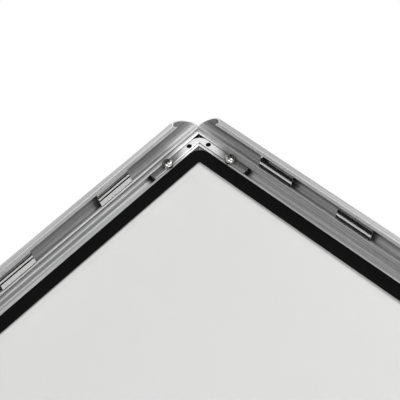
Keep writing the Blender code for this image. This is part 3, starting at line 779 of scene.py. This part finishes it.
def rail_section(p):
    """Return the shut front rail's section: skirt, crowned face, foot and the curl on the bead."""
    outer, inner = face_lines(p)
    free_angle = math.asin((p.neck_half + p.hinge_gap) / p.curl_inner)
    curl_tip = free_angle - QUARTER
    curl_root = 2 * QUARTER - free_angle
    inner = inner[inner[:, 0] < p.tip_inner]
    edge = p.edge_round
    return rounded(
        ([(0, p.hinge[1] + p.stop_rise)], edge),
        (outer[:-1], 0),
        (outer[-1:], edge),
        ([(p.tip_outer, p.foot_front)], edge / 2),
        ([(p.rail_width, p.foot_front), (p.rail_width, p.foot_back),
          (p.rail_width - p.foot_reach, p.foot_back),
          (p.rail_width - p.foot_reach, p.foot_front), (p.tip_inner, p.foot_front)], edge),
        ([(p.tip_inner, np.interp(p.tip_inner, inner[:, 0], inner[:, 1]))], edge),
        (inner[::-1], 0),
        ([(p.rail_thickness, p.hinge[1] + p.stop_rise + p.rail_thickness)], 2 * edge),
        (arc(p.hinge, p.curl_outer, curl_root - WEB_ANGLE, curl_tip, HINGE_STEPS), 0),
        (arc(p.hinge, p.curl_inner, curl_tip, curl_root, HINGE_STEPS), 0),
        (arc(p.hinge, p.curl_outer, curl_root, curl_root, 1)[:1], edge),
    )


def furthest_inset(p, section):
    """Return the furthest inset that each point of a front rail reaches while the rail swings.

    From the hinge, a point's run is its distance times the cosine of its angle, which falls by
    the swing. The most is the whole distance where the swing passes level, and otherwise one of
    the two ends of the swing.
    """
    run, rise = section[:, 0] - p.hinge[0], section[:, 1] - p.hinge[1]
    whole = np.where((rise <= 0) & (run >= 0), np.hypot(run, rise), -np.inf)
    return p.hinge[0] + np.maximum(np.maximum(run, -rise), whole)


def leaf_section(p):
    """Return the leaf spring's section: a hook round the curl, flat stretches and a long end."""
    inner = face_lines(p)[1]
    hook = arc(p.hinge, p.leaf_radius, -math.asin(p.leaf_hook_drop / p.leaf_radius), 0, 2)
    stretches = np.column_stack((np.cos(LEAF_SLANTS), np.sin(LEAF_SLANTS)))
    bends = hook[-1] + np.cumsum(p.leaf_runs[:, None] * stretches, axis=0)
    end = (p.leaf_end, np.interp(p.leaf_end, inner[:, 0], inner[:, 1]) - p.seat_gap
           - p.leaf_thickness / 2)
    line = rounded((hook[:-1], 0), (hook[-1:], p.leaf_bend), (bends, p.leaf_bend), (end, 0),
                   steps=LEAF_BEND_STEPS)
    half = p.leaf_thickness / 2
    return np.vstack((sideways(line, half), sideways(line, -half)[::-1]))


def leaf_places(p, side, whole):
    """Return the places of the leaf springs along a side, from its middle."""
    if side in ("left", "right"):
        first = whole / 2 - p.long_side_first_leaf
        return np.linspace(-first, first, LONG_SIDE_LEAVES)
    first = whole / 2 - p.short_side_first_leaf
    second = first - p.short_side_pitch
    return np.array((-first, -second, 0, second, first))


class POSTER_FRAME_OT_base_rails(bpy.types.Operator):
    """Build the four mitred base rails, with their hinge beads and screw holes."""

    bl_idname = "poster_frame.base_rails"
    bl_label = "Base Rails"

    def execute(self, context):
        p = places(context.scene)
        inset_section = base_section(p)
        for side, (whole, edge) in p.sides.items():
            section = anticlockwise(inset_section * (-1, 1) + (edge, 0))
            half_lengths = whole / 2 - (edge - section[:, 0]) - p.mitre_gap
            holes = [((end * (whole / 2 - along), edge - inset), radius)
                     for end in (-1, 1) for along, inset, radius in p.holes]
            level = [holes_edge(section, edge - p.bracket_middle, height)
                     for height in (0, p.floor_thickness)]
            surfaces = carried(section, half_lengths, skipped=level)
            surfaces[0].finish = base_finishes(p, section, edge, level)
            surfaces += [holed_strip(section, at, half_lengths, holes, number)
                         for at, number in zip(level, (PLAIN, CHANNEL))]
            surfaces += walled([circle(*hole)[::-1] for hole in holes],
                               [(0, 0), (0, p.floor_thickness)], SAWN)
            add_piece(p, "base_rail_" + side, surfaces, side, BASE_RAIL_FINISHES, "frame")
        return {"FINISHED"}


def base_finishes(p, section, edge, skipped):
    """Return the finish number of each kept edge of a base rail's section.

    It is channel in the channel, where shadow is painted round the brackets, corner lit on the
    other parts that face forwards, where light is painted brighter near the corners, and plain
    elsewhere: from the lip's inner face on, on the back and outside the hinge.
    """
    inset, height = edge - section[:, 0], section[:, 1]
    channel = (inset > p.ledge_inner - MERGE_DISTANCE) & (inset < p.lip_outer + MERGE_DISTANCE)
    channel &= height > MERGE_DISTANCE
    hidden = (inset > p.lip_inner - MERGE_DISTANCE) | (inset < p.wall_inner)
    hidden |= height < p.relief_top
    # Faces that face forwards take the finish with painted light near the corners
    numbers = np.where(both_ends(hidden), PLAIN, CORNER_LIT)
    numbers[both_ends(channel)] = CHANNEL
    return np.delete(numbers, skipped)


def both_ends(points):
    """Return which edges of a closed line have both their ends among some of its points."""
    return points & np.roll(points, -1)


def holes_edge(section, outwards, height):
    """Return the number of the section's level edge that passes one place at one height."""
    level = both_ends(np.abs(section[:, 1] - height) < MERGE_DISTANCE)
    away = section[:, 0] - outwards
    found = np.flatnonzero(level & (away * np.roll(away, -1) < 0))
    if len(found) != 1:
        raise RuntimeError("the base rail's section has no single level edge under the holes")
    return int(found[0])


class POSTER_FRAME_OT_front_rails(bpy.types.Operator):
    """Build the four front rails, swung open a quarter turn about their hinge beads."""

    bl_idname = "poster_frame.front_rails"
    bl_label = "Front Rails"

    def execute(self, context):
        p = places(context.scene)
        shut = anticlockwise(rail_section(p))[::-1]
        in_foot = (shut[:, 0] > p.crown_inset) & (shut[:, 1] < p.foot_front + p.seat_gap)
        # Faces under the foot take the finish with painted light
        under_foot = in_foot & (shut[:, 1] < p.foot_back + p.seat_gap / 2)
        # Faces on the hollow side take the finish that paints part of its shade
        hollow = hollow_side(p, shut) & ~in_foot
        numbers = FOOT_SHEEN * both_ends(under_foot) + HOLLOW * both_ends(hollow)
        cut_off = furthest_inset(p, shut) + p.mitre_gap + p.foot_cut_back * in_foot
        for side, (whole, edge) in p.sides.items():
            surfaces = carried(swung_open(p, edge, shut), whole / 2 - cut_off)
            surfaces[0].finish = numbers
            add_piece(p, "front_rail_" + side, surfaces, side, FRONT_RAIL_FINISHES,
                      "rail_" + side)
        return {"FINISHED"}


def hollow_side(p, section):
    """Return which points of a shut front rail's section are on its hollow side.

    They lie more than half a wall below the outer line and inside the skirt, and off the curl.
    """
    outer = face_lines(p)[0]
    depth = np.interp(section[:, 0], outer[:, 0], outer[:, 1]) - section[:, 1]
    away = np.linalg.norm(section - p.hinge, axis=1)
    return ((depth > p.rail_thickness / 2) & (section[:, 0] > p.rail_thickness / 2)
            & (away > p.curl_outer + MERGE_DISTANCE))


def swung_open(p, edge, shut):
    """Turn a shut section a quarter turn open about the hinge, into (outwards, forwards).

    This turns a clockwise section anticlockwise.
    """
    run, rise = shut[:, 0] - p.hinge[0], shut[:, 1] - p.hinge[1]
    return np.column_stack((edge - p.hinge[0] + rise, p.hinge[1] + run))


class POSTER_FRAME_OT_leaf_springs(bpy.types.Operator):
    """Build the leaf springs that span each front rail from the hinge to the foot."""

    bl_idname = "poster_frame.leaf_springs"
    bl_label = "Leaf Springs"

    def execute(self, context):
        p = places(context.scene)
        shut = anticlockwise(leaf_section(p))[::-1]
        half_lengths = np.full(len(shut), p.leaf_length / 2)
        for side, (whole, edge) in p.sides.items():
            section = swung_open(p, edge, shut)
            for number, place in enumerate(leaf_places(p, side, whole), start=1):
                surfaces = carried(section, half_lengths)
                for part in surfaces:
                    part.corners = part.corners + (place, 0, 0)
                add_piece(p, "leaf_spring_{}_{}".format(side, number), surfaces, side,
                          ("rolled_spring_steel",), "rail_" + side)
        return {"FINISHED"}


class POSTER_FRAME_OT_corner_brackets(bpy.types.Operator):
    """Build the four angle brackets that join the mitred corners."""

    bl_idname = "poster_frame.corner_brackets"
    bl_label = "Corner Brackets"

    def execute(self, context):
        p = places(context.scene)
        outer, inner, end, cut = p.bracket_outer, p.bracket_inner, p.bracket_arm, p.bracket_chamfer
        arm = np.array(((end, outer), (end, inner - cut), (end - cut, inner)))
        outline = rounded(((outer, outer), p.bracket_corner), (arm, p.plate_round),
                          ((inner, inner), p.plate_round), (arm[::-1, ::-1], p.plate_round),
                          steps=BRACKET_CORNER_STEPS)
        holes = [circle(centre, radius) for along, inset, radius in p.holes
                 for centre in ((along, inset), (inset, along))]
        corner_place = np.array((p.frame_width / 2, p.frame_height / 2))
        for corner, way in CORNERS.items():
            outer, *inner = [(corner_place - loop) * way for loop in (outline, *holes)]
            # The holes' walls take the finish that paints shade in the holes
            surfaces = plate(outer, inner, p.panel_back, p.ledge_top, p.plate_round,
                             hole_finish=1)
            # The plate's finish paints a reflection: darker arms and a brighter corner
            add_piece(p, "corner_bracket_" + corner, surfaces, "top",
                      ("zinc_plate", "drilled_bore"), "frame")
        return {"FINISHED"}


class POSTER_FRAME_OT_bracket_screws(bpy.types.Operator):
    """Build the eight pan head screws with their cross recesses."""

    bl_idname = "poster_frame.bracket_screws"
    bl_label = "Bracket Screws"

    def execute(self, context):
        p = places(context.scene)
        radius, height = screw_grids(p)
        for corner, (way_x, way_z) in CORNERS.items():
            spots = ((p.screw_along, p.screw_inset), (p.screw_inset, p.screw_along))
            for number, (x, y) in enumerate(spots, start=1):
                middle = (way_x * (p.frame_width / 2 - x), way_z * (p.frame_height / 2 - y))
                add_piece(p, "bracket_screw_{}_{}".format(corner, number),
                          [turned_grid(radius, height, middle)], "top", ("nickel_plate",),
                          "frame")
        return {"FINISHED"}


def screw_grids(p):
    """Return a screw's radius and height grids, one row for each ring from the tip to the top.

    The shank's radius falls into the thread by a triangle wave of height over pitch, less the
    share of a turn. The head's dome rises by the sine of the angle whose cosine is the radius
    share raised to a power. The recess is sunk in steep walls from the edge of two crossed
    arms, with a small cone at their middle, and never lower than its floor.
    """
    turns = np.arange(SCREW_SPOKES) / SCREW_SPOKES
    seat = p.ledge_top + p.seat_gap
    shoulder = seat - p.thread_pitch
    rise = np.arange(p.seat_gap, shoulder, p.thread_pitch / RINGS_PER_PITCH)
    wave = np.abs(((rise[:, None] / p.thread_pitch - turns[None]) % 1) * 2 - 1)
    shank = p.shank_radius - p.thread_depth * wave
    flat = np.ones(SCREW_SPOKES)
    share = np.linspace(1, 0, HEAD_RINGS)[:, None] * flat
    dome = np.sin(np.arccos(np.clip(share ** HEAD_POWER, 0, 1)))
    head_radius = share * p.head_radius
    angle = 2 * math.pi * turns + RECESS_TURN
    x, y = np.abs(head_radius * np.cos(angle)), np.abs(head_radius * np.sin(angle))
    arm = np.minimum(p.recess_width / 2 - np.minimum(x, y), p.recess_length / 2 - np.maximum(x, y))
    sunk = np.clip(arm * RECESS_SLOPE, 0, None)
    sunk += np.clip((p.cone_radius - head_radius) * CONE_SLOPE, 0, p.cone_depth)
    head_height = seat + p.head_edge + (p.head_height - p.head_edge) * dome - sunk
    head_height = np.maximum(head_height, seat + p.head_height - p.recess_depth)
    radius = np.vstack((0 * flat, shank, p.shank_radius * flat, p.shank_radius * flat,
                        p.head_radius * flat, head_radius))
    height = np.vstack((p.seat_gap * flat, rise[:, None] * flat, shoulder * flat,
                        seat * flat, seat * flat, head_height))
    return radius, height


class POSTER_FRAME_OT_sheets(bpy.types.Operator):
    """Build the back panel, the poster, the clear cover and the black border on its front."""

    bl_idname = "poster_frame.sheets"
    bl_label = "Panel, Poster, Cover and Border"

    def execute(self, context):
        p = places(context.scene)
        window = sheet_outline(p, p.sheet_inset + p.border_width, p.window_corner)
        for node, finish_name, smaller, holes, back, thickness, edge, slot in (
                ("back_panel", "extruded_polystyrene", 0, [], p.panel_back, p.panel_thickness,
                 p.panel_edge, "panel_plastic"),
                ("poster_sheet", "coated_paper", p.poster_inset, [], p.poster_back,
                 p.poster_thickness, p.film_edge, "poster_paper"),
                ("cover_sheet", "clear_cover", 0, [], p.cover_back, p.cover_thickness,
                 p.cover_edge, "cover_plastic"),
                ("cover_border", "printed_black", 0, [window], p.border_back,
                 p.border_thickness, p.film_edge, "border_film")):
            outline = sheet_outline(p, p.sheet_inset + smaller, p.sheet_corner)
            surfaces = plate(outline, holes, back, back + thickness, edge, steps=2)
            add_piece(p, node, surfaces, "top", (finish_name,), "frame")
        return {"FINISHED"}


# Stage


class POSTER_FRAME_OT_stage(bpy.types.Operator):
    """Build the camera, the white surroundings, the soft lamps and the pale floor."""

    bl_idname = "poster_frame.stage"
    bl_label = "Stage"

    def execute(self, context):
        scene = context.scene
        stage = scene.poster_frame_stage
        scene.view_settings.view_transform = "Standard"
        camera = linked("camera", bpy.data.cameras.new("camera"))
        camera.location = stage.camera_place
        camera.rotation_euler = stage.camera_turn
        camera.data.lens = stage.camera_lens
        camera.data.sensor_width = 36
        camera.data.clip_start = 0.01
        scene.camera = camera
        scene.world = white_room(stage)
        for name, direction in LAMP_DIRECTIONS.items():
            add_lamp(name, stage, places(scene).centre, direction)
        outline = circle((0, 0), stage.floor_radius, FLOOR_STEPS)
        mesh = bpy.data.meshes.new("studio_floor")
        mesh.from_pydata(raised(outline, packed_box[0][2] - stage.floor_drop), [],
                         [tuple(range(len(outline)))])
        mesh.materials.append(fading_floor(stage))
        linked("studio_floor", mesh)
        return {"FINISHED"}


def add_lamp(name, stage, target, direction):
    """Add a square soft lamp that faces a target from one direction."""
    lamp = bpy.data.lights.new(name, "AREA")
    lamp.shape = "SQUARE"
    lamp.size = stage.lamp_size
    lamp.energy = getattr(stage, name)
    holder = linked(name, lamp)
    away = np.array(direction) / np.linalg.norm(direction)
    holder.location = np.array(target) + stage.lamp_distance * away
    flat = math.hypot(away[0], away[1])
    holder.rotation_euler = (math.atan2(flat, away[2]), 0, math.atan2(away[1], away[0]) + QUARTER)


def white_room(stage):
    """Return a world that is white where it is seen or mirrored, and lights the frame faintly."""
    world = bpy.data.worlds.new("white_room")
    world.use_nodes = True
    tree = world.node_tree
    path = add_node(tree, "LightPath")
    seen = path["Is Camera Ray"]
    for kind in ("Is Glossy Ray", "Is Transmission Ray"):
        seen = add_node(tree, "Math", {0: seen, 1: path[kind]}, operation="MAXIMUM")[0]
    strength = add_node(tree, "MapRange", {"Value": seen},
                        {"To Min": stage.ambient, "To Max": 1.0})
    background = tree.nodes["Background"]
    background.inputs["Color"].default_value = (1, 1, 1, 1)
    tree.links.new(strength[0], background.inputs["Strength"])
    return world


def fading_floor(stage):
    """Return the studio paper, which fades into the white surroundings far from the frame."""
    material = finish("studio_paper")
    tree = material.node_tree
    place = add_node(tree, "TexCoord")["Object"]
    away = add_node(tree, "VectorMath", {0: place}, operation="LENGTH")
    fade = add_node(tree, "MapRange", {"Value": away["Value"]},
                    {"From Min": FADE_START * stage.floor_radius,
                     "From Max": FADE_END * stage.floor_radius, "To Min": 1.0, "To Max": 0.0})
    tree.links.new(fade[0], tree.nodes["Principled BSDF"].inputs["Alpha"])
    return material


class POSTER_FRAME_PT_pieces(bpy.types.Panel):
    """Lists the operators that build the frame's pieces."""

    bl_label = "Poster Frame"
    bl_idname = "POSTER_FRAME_PT_pieces"
    bl_space_type = "VIEW_3D"
    bl_region_type = "UI"
    bl_category = "Poster Frame"

    def draw(self, context):
        for operator in OPERATORS:
            self.layout.operator(operator.bl_idname)


GROUPS = {
    "poster_frame_sizes": PosterFrameSizes,
    "poster_frame_colours": PosterFrameColours,
    "poster_frame_stage": PosterFrameStage,
}

OPERATORS = (
    POSTER_FRAME_OT_base_rails,
    POSTER_FRAME_OT_front_rails,
    POSTER_FRAME_OT_leaf_springs,
    POSTER_FRAME_OT_corner_brackets,
    POSTER_FRAME_OT_bracket_screws,
    POSTER_FRAME_OT_sheets,
    POSTER_FRAME_OT_stage,
)


def register():
    """Register the property groups, the operators and the panel."""
    for name, group in GROUPS.items():
        bpy.utils.register_class(group)
        setattr(bpy.types.Scene, name, PointerProperty(type=group))
    for operator in (*OPERATORS, POSTER_FRAME_PT_pieces):
        bpy.utils.register_class(operator)


def unregister():
    """Remove what register added."""
    for operator in (POSTER_FRAME_PT_pieces, *reversed(OPERATORS)):
        bpy.utils.unregister_class(operator)
    for name, group in reversed(GROUPS.items()):
        delattr(bpy.types.Scene, name)
        bpy.utils.unregister_class(group)


def main():
    """Build every piece and the stage."""
    register()
    for operator in OPERATORS:
        group, name = operator.bl_idname.split(".")
        getattr(getattr(bpy.ops, group), name)()


if __name__ == "__main__":
    main()
